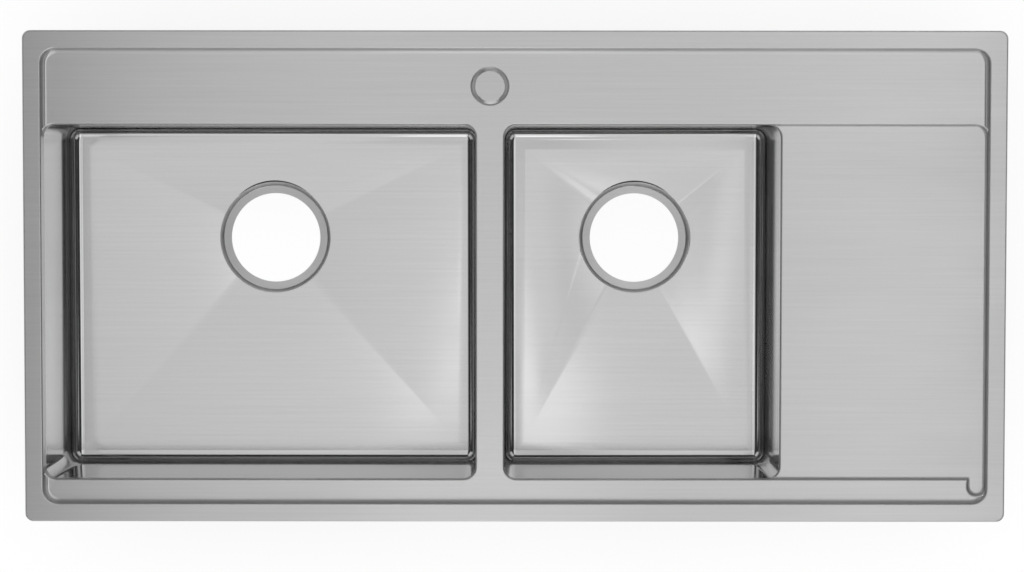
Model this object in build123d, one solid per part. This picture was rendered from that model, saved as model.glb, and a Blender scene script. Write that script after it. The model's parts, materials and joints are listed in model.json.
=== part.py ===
from build123d import *
import os
from math import hypot
from typing import NamedTuple

# Inset kitchen sink: two welded bowls, a tap deck, a drainboard and the clips that hold it down.
# Millimetres. The origin is the middle of the plane where the rim rests on the worktop.
# +X runs towards the drainboard, +Y towards the tap deck and +Z up.

# Sheet and rim
SHEET = 1.0
SINK_LENGTH = 1000.0
SINK_WIDTH = 500.0
OUTER_CORNER = 8.5
RIM_HEIGHT = 6.0
RIM_FLAT = 17.0
RIM_EDGE_BEND = 0.8
RIM_BEND = 0.6
STRAIGHT = 0.2

# Recessed deck and drainboard
DECK_DROP = 7.0
RECESS_CORNER = 15.0
TAP_DECK_DEPTH = 76.6
LEDGE_DEPTH = 24.1
EDGE_BEND = 0.8
TRAY_DROP = 5.0
CHANNEL_WIDTH = 18.0
CHANNEL_LEDGE = 0.8
MOUTH_MARGIN = 0.3

# Bowls
DIVIDER_CENTRE = -25.6
DIVIDER_WIDTH = 29.3
RIGHT_BOWL_LENGTH = 282.4
BOWL_DEPTH = 160.0
FLOOR_FILLET = 12.0
CORNER_MARGIN = 0.5
WELD_DROP = 4.0
FLOOR_BORDER = 22.0
FLOOR_FALL = 7.0

# Drains
DRAIN_SETBACK = 118.0
DRAIN_HOLE_RADIUS = 48.4
DRAIN_SEAT_WIDTH = 8.6
DRAIN_SEAT_DROP = 12.5
DRAIN_MOUTH_DROP = 4.0
DRAIN_WALL_LEAN = 3.2
DRAIN_FLARE = 4.5
DRAIN_FLARE_RISE = 3.4
DRAIN_SEAT_FILLET = 1.5
DRAIN_MOUTH_BEND = 1.5

# Tap hole and the blank that closes it
TAP_HOLE_RADIUS = 17.5
TAP_HOLE_SETBACK = 37.6
TAP_SEAT_RADIUS = 19.9
TAP_SEAT_DEPTH = 2.2
TAP_COLLAR = 3.0
BLANK_GAP = 0.1
BLANK_SINK = 0.2
BLANK_THICKNESS = 1.8
BLANK_FLANK = 0.6
BLANK_TOP_RADIUS = 15.2

# Foam seal under the rim
SEAL_INSET = 4.0
SEAL_BEND_GAP = 3.0

# Clips that clamp the worktop
STUD_RADIUS = 2.5
STUD_LENGTH = 50.0
STUD_TIP = 0.8
STUD_OVERHANG = 3.0
MIDDLE_STUD_OFFSET = 115.6
REAR_STUD_INSET = 120.0
FRONT_LEFT_STUD_INSET = 170.0
FRONT_RIGHT_STUD_INSET = 100.0
RIGHT_STUDS_Y = (-90.0, 110.0)
REAR_STUD_SETBACK = 20.4
FRONT_STUD_SETBACK = 12.9
RIGHT_STUD_SETBACK = 22.4
NUT_FLATS = 9.0
NUT_HEIGHT = 5.0
NUT_BEVEL = 0.4
NUT_GAP = 0.1
ARM_GAP = 0.3
ARM_WIDTH = 12.0
ARM_THICKNESS = 3.0
ARM_TOOTH = 6.0
ARM_BITE = 12.0
WORKTOP_GAP = 4.0

# Stiffening channels under the drainboard
STIFFENER_WIDTH = 24.0
STIFFENER_HEIGHT = 12.0
STIFFENER_FLANGE = 10.0
STIFFENER_SPACING = 170.0
STIFFENER_BOWL_GAP = 18.0
STIFFENER_END_GAP = 42.0

# Sound-deadening pads
PAD_THICKNESS = 3.0
PAD_CORNER = 6.0
PAD_TOP_DROP = 40.0
PAD_HEIGHT = 95.0
SIDE_PAD_LENGTH = 240.0
WALL_PAD_MARGIN = 60.0
FLOOR_PAD_MARGIN = 40.0
FLOOR_PAD_DEPTH = 120.0


class Plan(NamedTuple):
    """A rounded rectangle seen from above."""

    x_low: float
    x_high: float
    y_low: float
    y_high: float
    corner: float

    @property
    def middle_x(self):
        return (self.x_low + self.x_high) / 2

    @property
    def middle_y(self):
        return (self.y_low + self.y_high) / 2


class Bowl(NamedTuple):
    """A bowl's opening and the middle of its drain."""

    plan: Plan
    drain_x: float
    drain_y: float


class Clip(NamedTuple):
    """A clip's stud: where it stands and which way its arm reaches, in degrees from +X."""

    x: float
    y: float
    z: float
    reach: float
    length: float


# Bend and fillet radii that follow from the steps
rim_edge_round = RIM_EDGE_BEND + SHEET
rim_round = RIM_BEND + SHEET
edge_round = EDGE_BEND + SHEET
recess_fillet = DECK_DROP - rim_round - STRAIGHT
tray_fillet = TRAY_DROP - edge_round - STRAIGHT
bowl_corner = FLOOR_FILLET + CORNER_MARGIN

# Heights of the surfaces
rim_top = RIM_HEIGHT
deck_top = rim_top - DECK_DROP
tray_top = deck_top - TRAY_DROP
weld_height = tray_top - edge_round - STRAIGHT - WELD_DROP
floor_height = deck_top - BOWL_DEPTH
open_top = rim_top + DECK_DROP

# Plans of the pressed steps and the bowls
half_length = SINK_LENGTH / 2
half_width = SINK_WIDTH / 2
recess_x = half_length - RIM_FLAT - rim_round
recess_y = half_width - RIM_FLAT - rim_round
bowl_rear = recess_y - TAP_DECK_DEPTH
bowl_front = -recess_y + LEDGE_DEPTH
divider_left = DIVIDER_CENTRE - DIVIDER_WIDTH / 2
divider_right = DIVIDER_CENTRE + DIVIDER_WIDTH / 2
right_bowl_end = divider_right + RIGHT_BOWL_LENGTH
channel_front = -recess_y + recess_fillet + edge_round + CHANNEL_LEDGE

rim_plan = Plan(-half_length, half_length, -half_width, half_width, OUTER_CORNER)
recess_plan = Plan(-recess_x, recess_x, -recess_y, recess_y, RECESS_CORNER)
left_plan = Plan(-recess_x, divider_left, bowl_front, bowl_rear, bowl_corner)
right_plan = Plan(divider_right, right_bowl_end, bowl_front, bowl_rear, bowl_corner)
tray_plan = Plan(divider_right, recess_x, bowl_front, bowl_rear, bowl_corner)
channel_rear = bowl_rear - bowl_corner
channel_corner = CHANNEL_WIDTH / 2 - CORNER_MARGIN
channel_plan = Plan(recess_x - CHANNEL_WIDTH, recess_x, channel_front, channel_rear, channel_corner)

drain_y = bowl_rear - DRAIN_SETBACK
left_bowl = Bowl(left_plan, left_plan.middle_x, drain_y)
right_bowl = Bowl(right_plan, right_plan.middle_x, drain_y)
tap_x = DIVIDER_CENTRE
tap_y = recess_y - TAP_HOLE_SETBACK


def prism(plan, z_low, z_high, grow=0.0):
    """The plan, grown on every side, raised between two heights."""
    width = plan.x_high - plan.x_low + 2 * grow
    depth = plan.y_high - plan.y_low + 2 * grow
    outline = RectangleRounded(width, depth, plan.corner + grow)
    return extrude(Pos(plan.middle_x, plan.middle_y, z_low) * outline, z_high - z_low)


def pan(plan, z_floor, z_top, floor_round, grow=0.0):
    """A prism whose lower edge is rounded, as the hollow of a pan is."""
    body = prism(plan, z_floor, z_top, grow)
    floor = body.faces().sort_by(Axis.Z)[0]
    return fillet(floor.edges(), floor_round)


def mouth(plan, z_mouth, rounding, grow, around):
    """The opening of a plan with its upper edge rounded outwards, stopping short of the walls around it."""
    z_low = z_mouth - rounding - STRAIGHT
    slab = prism(plan, z_low, z_mouth, grow + 2 * rounding)
    ring = slab - prism(plan, z_low, z_mouth, grow)
    inner_edge = ring.faces().sort_by(Axis.Z)[-1].inner_wires()[0]
    ring = fillet(inner_edge.edges(), rounding)
    headroom = prism(plan, z_mouth, open_top, grow + rounding)
    return (slab - ring + headroom) & prism(around, z_low, open_top, grow - MOUTH_MARGIN)


def tap_seat_space(grow):
    """The coned tap hole as a solid, grown by the sheet for its underside."""
    lean = (TAP_SEAT_RADIUS - TAP_HOLE_RADIUS) / TAP_SEAT_DEPTH
    spread = hypot(1.0, lean) * grow
    wall = TAP_HOLE_RADIUS + grow
    wall_depth = (TAP_SEAT_RADIUS + spread - wall) / lean
    top = deck_top + SHEET
    low = weld_height - SHEET
    profile = make_face(
        Polyline(
            (0, 0, top),
            (TAP_SEAT_RADIUS + lean * SHEET + spread, 0, top),
            (wall, 0, deck_top - wall_depth),
            (wall, 0, low),
            (0, 0, low),
            close=True,
        )
    )
    return Pos(tap_x, tap_y, 0) * revolve(profile, Axis.Z)


def deck_form(grow):
    """All that lies below the deck's upper surface, or below its underside when grown by the sheet."""
    base = weld_height - grow
    block = prism(rim_plan, base, rim_top - grow, -grow)
    form = fillet(block.faces().sort_by(Axis.Z)[-1].edges(), rim_edge_round - grow)
    form -= pan(recess_plan, deck_top - grow, open_top, recess_fillet + grow, grow)
    form -= mouth(recess_plan, rim_top - grow, rim_round - grow, grow, rim_plan)
    form -= prism(left_plan, base, open_top, grow)
    form -= mouth(left_plan, deck_top - grow, edge_round - grow, grow, recess_plan)
    for plan in (tray_plan, channel_plan):
        form -= pan(plan, tray_top - grow, open_top, tray_fillet + grow, grow)
        form -= mouth(plan, deck_top - grow, edge_round - grow, grow, recess_plan)
    form -= prism(right_plan, base, open_top, grow)
    form -= mouth(right_plan, tray_top - grow, edge_round - grow, grow, tray_plan)
    return form - tap_seat_space(grow)


def make_deck():
    """The pressed top: rim, tap deck, front ledge, divider and drainboard in one sheet."""
    sheet = deck_form(0.0) - deck_form(SHEET)
    below_rim = prism(rim_plan, weld_height, 0, SHEET) - prism(recess_plan, weld_height, 0, rim_round)
    collar_end = deck_top - TAP_SEAT_DEPTH - TAP_COLLAR
    below_collar = Plan(
        tap_x - TAP_SEAT_RADIUS - SHEET,
        tap_x + TAP_SEAT_RADIUS + SHEET,
        tap_y - TAP_SEAT_RADIUS - SHEET,
        tap_y + TAP_SEAT_RADIUS + SHEET,
        TAP_SEAT_RADIUS,
    )
    return sheet - below_rim - prism(below_collar, weld_height, collar_end)


def drain_space(bowl, grow):
    """The drain's recess as a solid: flat seat, leaning wall and flared mouth, revolved about the drain."""
    seat_radius = DRAIN_HOLE_RADIUS + DRAIN_SEAT_WIDTH
    mouth_radius = seat_radius + DRAIN_WALL_LEAN
    seat = floor_height - DRAIN_SEAT_DROP
    throat = floor_height - DRAIN_MOUTH_DROP
    top = throat + DRAIN_FLARE_RISE
    corners = Polyline(
        (0, seat),
        (seat_radius, seat),
        (mouth_radius, throat),
        (mouth_radius + DRAIN_FLARE, top),
        (0, top),
        close=True,
    )
    profile = make_face(corners)
    seat_corner = profile.vertices().sort_by_distance((seat_radius, seat))[0]
    profile = fillet(seat_corner, DRAIN_SEAT_FILLET)
    throat_corner = profile.vertices().sort_by_distance((mouth_radius, throat))[0]
    profile = fillet(throat_corner, DRAIN_MOUTH_BEND + SHEET)
    if grow:
        half = Pos(mouth_radius, floor_height) * Rectangle(2 * mouth_radius, 2 * BOWL_DEPTH)
        profile = offset(profile, grow, kind=Kind.INTERSECTION) & half
    return Pos(bowl.drain_x, bowl.drain_y, 0) * revolve(Plane.XZ * profile, Axis.Z)


def creased_fall(bowl, grow):
    """The shallow pyramid of the floor, whose four creases run to the drain."""
    plan = bowl.plan
    base = floor_height - grow
    width = plan.x_high - plan.x_low - 2 * FLOOR_BORDER
    depth = plan.y_high - plan.y_low - 2 * FLOOR_BORDER
    border = Pos(plan.middle_x, plan.middle_y, base) * Rectangle(width, depth)
    lowest = Vertex(bowl.drain_x, bowl.drain_y, base - FLOOR_FALL)
    return loft([border.face(), lowest], ruled=True)


def bowl_space(bowl, grow):
    """A bowl's hollow as a solid, grown by a sheet or pad for what lies around it."""
    space = pan(bowl.plan, floor_height - grow, weld_height, FLOOR_FILLET + grow, grow)
    space += creased_fall(bowl, grow)
    return space + drain_space(bowl, grow)


def make_bowl(bowl):
    """A bowl's sheet, from the weld under the deck down to its pierced drain seat."""
    hole = Cylinder(DRAIN_HOLE_RADIUS, 4 * DRAIN_SEAT_DROP)
    sheet = bowl_space(bowl, SHEET) - bowl_space(bowl, 0.0)
    return sheet - Pos(bowl.drain_x, bowl.drain_y, floor_height - DRAIN_SEAT_DROP) * hole


def make_blank():
    """The disc that closes the tap hole, resting in the hole's cone."""
    lean = (TAP_SEAT_RADIUS - TAP_HOLE_RADIUS) / TAP_SEAT_DEPTH
    bottom_depth = BLANK_SINK + BLANK_THICKNESS
    shoulder_depth = bottom_depth - BLANK_FLANK
    seat_gap = hypot(1.0, lean) * BLANK_GAP
    profile = make_face(
        Polyline(
            (0, 0, deck_top - BLANK_SINK),
            (BLANK_TOP_RADIUS, 0, deck_top - BLANK_SINK),
            (TAP_SEAT_RADIUS - lean * shoulder_depth - seat_gap, 0, deck_top - shoulder_depth),
            (TAP_SEAT_RADIUS - lean * bottom_depth - seat_gap, 0, deck_top - bottom_depth),
            (0, 0, deck_top - bottom_depth),
            close=True,
        )
    )
    return Pos(tap_x, tap_y, 0) * revolve(profile, Axis.Z)


def make_seal():
    """The foam strip between the rim and the worktop."""
    top = rim_top - SHEET
    return prism(rim_plan, 0, top, -SEAL_INSET) - prism(recess_plan, 0, top, rim_round + SEAL_BEND_GAP)


def clip_places():
    """The clips along the rear, front and right edges, each with the way its arm reaches."""
    underside = deck_top - SHEET
    rear_y = recess_y - REAR_STUD_SETBACK
    front_y = -recess_y + FRONT_STUD_SETBACK
    right_x = recess_x - RIGHT_STUD_SETBACK
    middle_x = DIVIDER_CENTRE + MIDDLE_STUD_OFFSET
    rear_xs = (-half_length + REAR_STUD_INSET, middle_x, half_length - REAR_STUD_INSET)
    front_xs = (-half_length + FRONT_LEFT_STUD_INSET, middle_x, half_length - FRONT_RIGHT_STUD_INSET)
    grip = SHEET + WORKTOP_GAP + ARM_BITE
    clips = [Clip(x, rear_y, underside, 90, REAR_STUD_SETBACK + grip) for x in rear_xs]
    clips += [Clip(x, front_y, underside, 270, FRONT_STUD_SETBACK + grip) for x in front_xs]
    tray_underside = tray_top - SHEET
    clips += [Clip(right_x, y, tray_underside, 0, RIGHT_STUD_SETBACK + grip) for y in RIGHT_STUDS_Y]
    return clips


def make_stud(clip):
    """A weld stud under the deck, with a bevelled tip."""
    stud = Cylinder(STUD_RADIUS, STUD_LENGTH, align=(Align.CENTER, Align.CENTER, Align.MAX))
    tip = stud.faces().sort_by(Axis.Z)[0].edges()
    return Pos(clip.x, clip.y, clip.z) * chamfer(tip, STUD_TIP)


def nut_height(clip):
    """The height of a clip nut's underside when the clip hangs slack."""
    return clip.z - STUD_LENGTH + STUD_OVERHANG


def make_nut(clip):
    """The nut that lifts a clip's arm along its stud."""
    nut = extrude(RegularPolygon(NUT_FLATS / 2, 6, major_radius=False), NUT_HEIGHT)
    corners = nut.faces().sort_by(Axis.Z)[0].edges()
    nut = chamfer(corners, NUT_BEVEL)
    bore = extrude(Circle(STUD_RADIUS + NUT_GAP), NUT_HEIGHT)
    return Pos(clip.x, clip.y, nut_height(clip)) * (nut - bore)


def make_arm(clip):
    """A clip's arm, stowed along the edge, with the tooth that bites the worktop at its tip."""
    half = ARM_WIDTH / 2
    strip = SlotCenterToCenter(clip.length - half, ARM_WIDTH)
    plate = extrude(Pos((clip.length - half) / 2, 0) * strip, ARM_THICKNESS)
    tooth_box = Pos(clip.length - ARM_THICKNESS / 2, 0) * Rectangle(ARM_THICKNESS, ARM_WIDTH)
    square_end = Pos(clip.length - half / 2, 0) * Rectangle(half, ARM_WIDTH)
    arm = plate + extrude(square_end, ARM_THICKNESS) + extrude(tooth_box, ARM_THICKNESS + ARM_TOOTH)
    arm -= extrude(Circle(STUD_RADIUS + ARM_GAP), ARM_THICKNESS)
    stowed = clip.reach - 90
    return Pos(clip.x, clip.y, nut_height(clip) + NUT_HEIGHT) * Rot(0, 0, stowed) * arm


def make_stiffener(y):
    """A hat-section channel welded under the drainboard, running along X."""
    start = right_bowl_end + STIFFENER_BOWL_GAP
    length = recess_x - STIFFENER_END_GAP - start
    trough = Rectangle(STIFFENER_WIDTH, STIFFENER_HEIGHT, align=(Align.CENTER, Align.MAX))
    hollow = Rectangle(
        STIFFENER_WIDTH - 2 * SHEET, STIFFENER_HEIGHT - SHEET, align=(Align.CENTER, Align.MAX)
    )
    flanges = Rectangle(STIFFENER_WIDTH + 2 * STIFFENER_FLANGE, SHEET, align=(Align.CENTER, Align.MAX))
    section = trough + flanges - hollow
    return extrude(Plane.YZ.offset(start) * Pos(y, tray_top - SHEET) * section, length)


def pad_layer(bowl):
    """A layer of pad thickness all round the outside of a bowl."""
    return bowl_space(bowl, SHEET + PAD_THICKNESS) - bowl_space(bowl, SHEET)


def wall_window(width, height):
    """The rounded outline of a pad."""
    return RectangleRounded(width, height, PAD_CORNER)


def make_wall_pads(bowl, layer):
    """The pads on a bowl's rear and front walls."""
    width = bowl.plan.x_high - bowl.plan.x_low - 2 * WALL_PAD_MARGIN
    middle = deck_top - PAD_TOP_DROP - PAD_HEIGHT / 2
    window = Plane.XZ * Pos(bowl.plan.middle_x, middle) * wall_window(width, PAD_HEIGHT)
    rear = extrude(Pos(0, bowl.plan.middle_y, 0) * window, -SINK_WIDTH)
    front = extrude(Pos(0, bowl.plan.middle_y, 0) * window, SINK_WIDTH)
    return layer & rear, layer & front


def make_side_pad(bowl, layer, side):
    """The pad on a bowl's left wall, side -1, or right wall, side 1."""
    middle = deck_top - PAD_TOP_DROP - PAD_HEIGHT / 2
    window = Plane.YZ * Pos(bowl.plan.middle_y, middle) * wall_window(SIDE_PAD_LENGTH, PAD_HEIGHT)
    return layer & extrude(Pos(bowl.plan.middle_x, 0, 0) * window, side * SINK_LENGTH / 2)


def make_floor_pad(bowl, layer):
    """The pad under the front facet of a bowl's floor."""
    width = bowl.plan.x_high - bowl.plan.x_low - 2 * FLOOR_PAD_MARGIN
    middle = bowl.plan.y_low + FLOOR_PAD_MARGIN + FLOOR_PAD_DEPTH / 2
    window = Pos(bowl.plan.middle_x, middle, floor_height) * wall_window(width, FLOOR_PAD_DEPTH)
    return layer & extrude(window, -BOWL_DEPTH)


def make_parts():
    """Every piece of the sink by name."""
    parts = {
        "deck": make_deck(),
        "left_bowl": make_bowl(left_bowl),
        "right_bowl": make_bowl(right_bowl),
        "tap_hole_blank": make_blank(),
        "rim_seal": make_seal(),
    }
    for name, bowl, side, side_name in (
        ("left_bowl", left_bowl, -1, "left"),
        ("right_bowl", right_bowl, 1, "right"),
    ):
        layer = pad_layer(bowl)
        rear, front = make_wall_pads(bowl, layer)
        parts[name + "_rear_pad"] = rear
        parts[name + "_front_pad"] = front
        parts[name + "_" + side_name + "_pad"] = make_side_pad(bowl, layer, side)
        parts[name + "_floor_pad"] = make_floor_pad(bowl, layer)
    middle_y = tray_plan.middle_y
    parts["front_stiffener"] = make_stiffener(middle_y - STIFFENER_SPACING / 2)
    parts["rear_stiffener"] = make_stiffener(middle_y + STIFFENER_SPACING / 2)
    clips = clip_places()
    parts["clip_studs"] = Compound(children=[make_stud(clip).solid() for clip in clips])
    for number, clip in enumerate(clips, 1):
        parts[f"clip_nut_{number}"] = make_nut(clip)
        parts[f"clip_arm_{number}"] = make_arm(clip)
    return parts


os.makedirs("parts", exist_ok=True)
for node, shape in make_parts().items():
    export_step(shape, f"parts/{node}.step")
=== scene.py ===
"""Dresses an inset kitchen sink: its steel, its soft pieces, its clips and the studio it is shown in."""
import json
import logging
import math
from dataclasses import dataclass, field
from enum import Enum
from typing import Any, Callable, Iterable, Sequence

import bmesh
import bpy
from mathutils import Euler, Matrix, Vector


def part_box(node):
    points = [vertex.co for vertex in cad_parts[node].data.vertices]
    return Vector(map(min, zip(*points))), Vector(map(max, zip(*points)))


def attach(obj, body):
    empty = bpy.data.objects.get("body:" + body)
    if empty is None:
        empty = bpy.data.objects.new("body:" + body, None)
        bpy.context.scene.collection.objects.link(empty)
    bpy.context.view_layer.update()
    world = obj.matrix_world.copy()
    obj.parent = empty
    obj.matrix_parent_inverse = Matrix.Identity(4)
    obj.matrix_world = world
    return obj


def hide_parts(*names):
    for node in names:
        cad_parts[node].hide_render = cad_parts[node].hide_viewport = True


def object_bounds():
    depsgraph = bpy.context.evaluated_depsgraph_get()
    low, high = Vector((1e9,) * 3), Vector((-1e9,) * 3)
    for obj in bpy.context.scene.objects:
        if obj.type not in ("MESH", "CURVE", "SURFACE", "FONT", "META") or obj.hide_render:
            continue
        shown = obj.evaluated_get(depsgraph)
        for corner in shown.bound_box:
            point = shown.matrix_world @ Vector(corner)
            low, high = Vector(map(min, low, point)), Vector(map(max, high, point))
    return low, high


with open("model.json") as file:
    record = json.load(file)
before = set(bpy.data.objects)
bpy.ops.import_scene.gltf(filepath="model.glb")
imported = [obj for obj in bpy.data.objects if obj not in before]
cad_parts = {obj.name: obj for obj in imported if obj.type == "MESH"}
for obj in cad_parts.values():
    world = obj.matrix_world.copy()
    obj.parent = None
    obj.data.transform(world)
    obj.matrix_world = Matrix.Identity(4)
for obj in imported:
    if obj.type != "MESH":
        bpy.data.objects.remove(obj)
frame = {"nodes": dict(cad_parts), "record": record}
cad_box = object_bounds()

log = logging.getLogger("sink")

Colour = tuple[float, float, float]
Point = tuple[float, float, float]
Flat = tuple[float, float]
Levels = tuple[tuple[float, float], ...]
Row = Callable[[float], Flat]
Socket = bpy.types.NodeSocket
Value = Socket | float | Sequence[float]
Inputs = dict[str | int, Value]

SINK = "sink"
MERGE_DISTANCE = 5e-6
BEVEL_SEGMENTS = 2
# Most values of a noise pattern lie in this range.
NOISE_RANGE = (0.3, 0.7)


class Slot(Enum):
    """The record's material slots of the pieces that are made here."""

    SATIN_STEEL = "satin_steel"
    CHANNEL_STEEL = "channel_steel"
    CLIP_STEEL = "clip_steel"
    RUBBER = "rubber_pad"
    FOAM = "foam_seal"


class Axis(Enum):
    """The parts of a vector, by number."""

    X = 0
    Y = 1
    Z = 2


class Blend(Enum):
    """What a Mix node mixes: the numbers of its two inputs and of its output."""

    FLOAT = (2, 3, 0)
    VECTOR = (4, 5, 1)
    RGBA = (6, 7, 2)


def shaded(value: float, colour: Colour) -> Colour:
    """The colour made lighter or darker by a factor."""
    return tuple(min(1.0, value * part) for part in colour)


class NodeBench:
    """Adds nodes to a tree and joins them."""

    def __init__(self, tree: bpy.types.NodeTree) -> None:
        """Empties the tree and keeps it."""
        tree.nodes.clear()
        self.tree = tree

    def add(self, kind: str, inputs: Inputs | None = None, **settings: Any) -> bpy.types.Node:
        """Adds one node.

        Args:
            kind: The node's type name.
            inputs: What goes into its sockets, by name or number: a value, or another node's output.
            settings: Properties of the node itself.

        Returns:
            The new node.
        """
        node = self.tree.nodes.new(kind)
        for name, value in settings.items():
            setattr(node, name, value)
        for key, value in (inputs or {}).items():
            if isinstance(value, bpy.types.NodeSocket):
                self.tree.links.new(value, node.inputs[key])
            else:
                node.inputs[key].default_value = value
        return node

    def show(self, shader: Socket) -> None:
        """Puts a shader on the surface."""
        self.add("ShaderNodeOutputMaterial", {"Surface": shader})

    def glow(self, level: Value) -> Socket:
        """A shader that gives off light of a level."""
        return self.add("ShaderNodeEmission", {"Color": level, "Strength": 1.0}).outputs[0]

    def maths(self, operation: str, *values: Value) -> Socket:
        """The result of a Math node on the given values or sockets."""
        node = self.add("ShaderNodeMath", dict(enumerate(values)), operation=operation)
        return node.outputs[0]

    def vector(self, operation: str, *values: Value) -> Socket:
        """The result of a Vector Math node on the given vectors or sockets."""
        node = self.add("ShaderNodeVectorMath", dict(enumerate(values)), operation=operation)
        return node.outputs[0]

    def part(self, vector: Value, axis: Axis) -> Socket:
        """One part of a vector."""
        return self.add("ShaderNodeSeparateXYZ", {0: vector}).outputs[axis.value]

    def flatness(self, normal: Value) -> Socket:
        """How flat a surface lies: 1 where it is level and 0 where it is upright."""
        return self.maths("ABSOLUTE", self.part(normal, Axis.Z))

    def mix(self, share: Value, first: Value, second: Value, kind: Blend = Blend.FLOAT) -> Socket:
        """Mixes two numbers, vectors or colours.

        Args:
            share: 0 for the first one and 1 for the second.
            first: The first one.
            second: The second one.
            kind: What they are.

        Returns:
            The output socket.
        """
        start, end, result = kind.value
        node = self.add("ShaderNodeMix", {0: share, start: first, end: second}, data_type=kind.name)
        return node.outputs[result]

    def spread(
        self, value: Value, low: float, high: float, from_low: float = 0.0, from_high: float = 1.0
    ) -> Socket:
        """Maps a value from one range to another, stopping at the ends.

        Args:
            value: The socket to map.
            low: The result at the range's start.
            high: The result at the range's end.
            from_low: The start of the incoming range.
            from_high: The end of the incoming range.

        Returns:
            The output socket.
        """
        ends = {1: from_low, 2: from_high, 3: low, 4: high}
        return self.add("ShaderNodeMapRange", {0: value, **ends}).outputs[0]

    def drift(self, pattern: Value, middle: float, swing: float) -> Socket:
        """A value that drifts up and down from its middle with a noise pattern."""
        return self.spread(pattern, middle - swing, middle + swing, *NOISE_RANGE)

    def noise(self, place: Value, scale: float = 1.0, detail: float = 2.0, roughness: float = 0.5) -> Socket:
        """A noise pattern at a place, as a value from 0 to 1."""
        inputs = {"Vector": place, "Scale": scale, "Detail": detail, "Roughness": roughness}
        return self.add("ShaderNodeTexNoise", inputs).outputs[0]

    def cells(self, place: Value, scale: float) -> Socket:
        """A pattern of cells at a place: how far it is to the middle of the nearest one."""
        return self.add("ShaderNodeTexVoronoi", {"Vector": place, "Scale": scale}).outputs["Distance"]

    def stretched(self, place: Value, scale: Point) -> Socket:
        """The place with each axis multiplied, which stretches the pattern that reads it."""
        return self.vector("MULTIPLY", place, scale)

    def ramp(self, value: Value, levels: Levels) -> Socket:
        """A grey that follows levels given at places from 0 to 1.

        Args:
            value: The place.
            levels: Each place and its level.

        Returns:
            The grey's socket.
        """
        node = self.add("ShaderNodeValToRGB", {0: value})
        stops = node.color_ramp.elements
        while len(stops) < len(levels):
            stops.new(1.0)
        for stop, (place, level) in zip(stops, levels):
            stop.position = place
            stop.color = (level, level, level, 1.0)
        return node.outputs[0]

    def shades(self, value: Value, dark: Colour, light: Colour) -> Socket:
        """A colour between two, chosen by a value from 0 to 1."""
        return self.mix(value, (*dark, 1.0), (*light, 1.0), Blend.RGBA)

    def tinted(self, tone: Value, colour: Colour, swing: float) -> Socket:
        """A colour that goes from darker to lighter by a swing as the tone goes from 0 to 1."""
        return self.shades(tone, shaded(1 - swing, colour), shaded(1 + swing, colour))


def new_material(name: str) -> tuple[bpy.types.Material, NodeBench]:
    """Starts a node material.

    Args:
        name: The material's name.

    Returns:
        The material and the bench for its nodes.
    """
    material = bpy.data.materials.new(name)
    material.use_nodes = True
    return material, NodeBench(material.node_tree)


def mount_place(name: str) -> Sequence[float]:
    """Where one of the record's mounts is."""
    return next(mount for mount in frame["record"]["mounts"] if mount["name"] == name)["pos_m"]


@dataclass(frozen=True)
class SatinSteel:
    """Sheet steel brushed one way, with soft clouds left by pressing and polishing."""

    name: str
    colour: Colour
    roughness: float = 0.34
    roughness_cloud: float = 0.025
    anisotropy: float = 0.93
    colour_swing: float = 0.06
    streak_density: float = 420.0
    streak_run: float = 5.0
    streak_depth: float = 0.000004
    streak_share: float = 0.6
    cloud_scale: Point = (5.0, 14.0, 14.0)
    brushing: Point = (1.0, 0.0, 0.02)
    front_facing: float = 0.5

    def material(self) -> bpy.types.Material:
        """Builds the finish as a node material.

        Returns:
            The material.
        """
        material, bench = new_material(self.name)
        place = bench.add("ShaderNodeTexCoord").outputs["Object"]
        normal = bench.add("ShaderNodeNewGeometry").outputs["Normal"]
        streaks = self._streaks(bench, place, normal)
        clouds = bench.noise(bench.stretched(place, self.cloud_scale), detail=4.0, roughness=0.6)
        tone = bench.spread(bench.mix(self.streak_share, clouds, streaks), 0.0, 1.0, *NOISE_RANGE)
        grain = {
            "Strength": self._relief(bench, normal),
            "Distance": self.streak_depth,
            "Height": streaks,
            "Normal": self._lay(bench, place, normal),
        }
        steel = {
            "Base Color": bench.tinted(tone, self.colour, self.colour_swing),
            "Metallic": 1.0,
            "Roughness": self._gloss(bench, place, normal, clouds),
            "Anisotropic": self.anisotropy,
            "Normal": bench.add("ShaderNodeBump", grain).outputs[0],
            "Tangent": bench.vector("CROSS_PRODUCT", normal, self._brush(bench, place)),
        }
        bench.show(bench.add("ShaderNodeBsdfPrincipled", steel).outputs[0])
        return material

    def _gloss(self, bench: NodeBench, place: Socket, normal: Socket, clouds: Socket) -> Socket:
        """The roughness, which drifts a little with the clouds."""
        return bench.drift(clouds, self.roughness, self.roughness_cloud)

    def _brush(self, bench: NodeBench, place: Socket) -> Value:
        """The direction in which the sheet was brushed at a point."""
        return self.brushing

    def _lay(self, bench: NodeBench, place: Socket, normal: Socket) -> Socket:
        """Which way the sheet faces at a point: as it was pressed."""
        return normal

    def _relief(self, bench: NodeBench, normal: Socket) -> Value:
        """How strong the brush marks are: as strong all over."""
        return 1.0

    def _streaks(self, bench: NodeBench, place: Socket, normal: Socket) -> Socket:
        """The brush marks, which run along the sheet and up the walls at the sink's ends.

        Args:
            bench: The material's nodes.
            place: The point on the sheet.
            normal: Which way the sheet faces there.

        Returns:
            The marks as a value from 0 to 1.
        """
        fine, run = self.streak_density, self.streak_run
        on_level = bench.noise(bench.stretched(place, (run, fine, run)), detail=4.0, roughness=0.7)
        on_front = bench.noise(bench.stretched(place, (run, fine, fine)), detail=4.0, roughness=0.7)
        facing = bench.maths("ABSOLUTE", bench.part(normal, Axis.Y))
        front_wall = bench.maths("GREATER_THAN", facing, self.front_facing)
        return bench.mix(front_wall, on_level, on_front)


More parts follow.
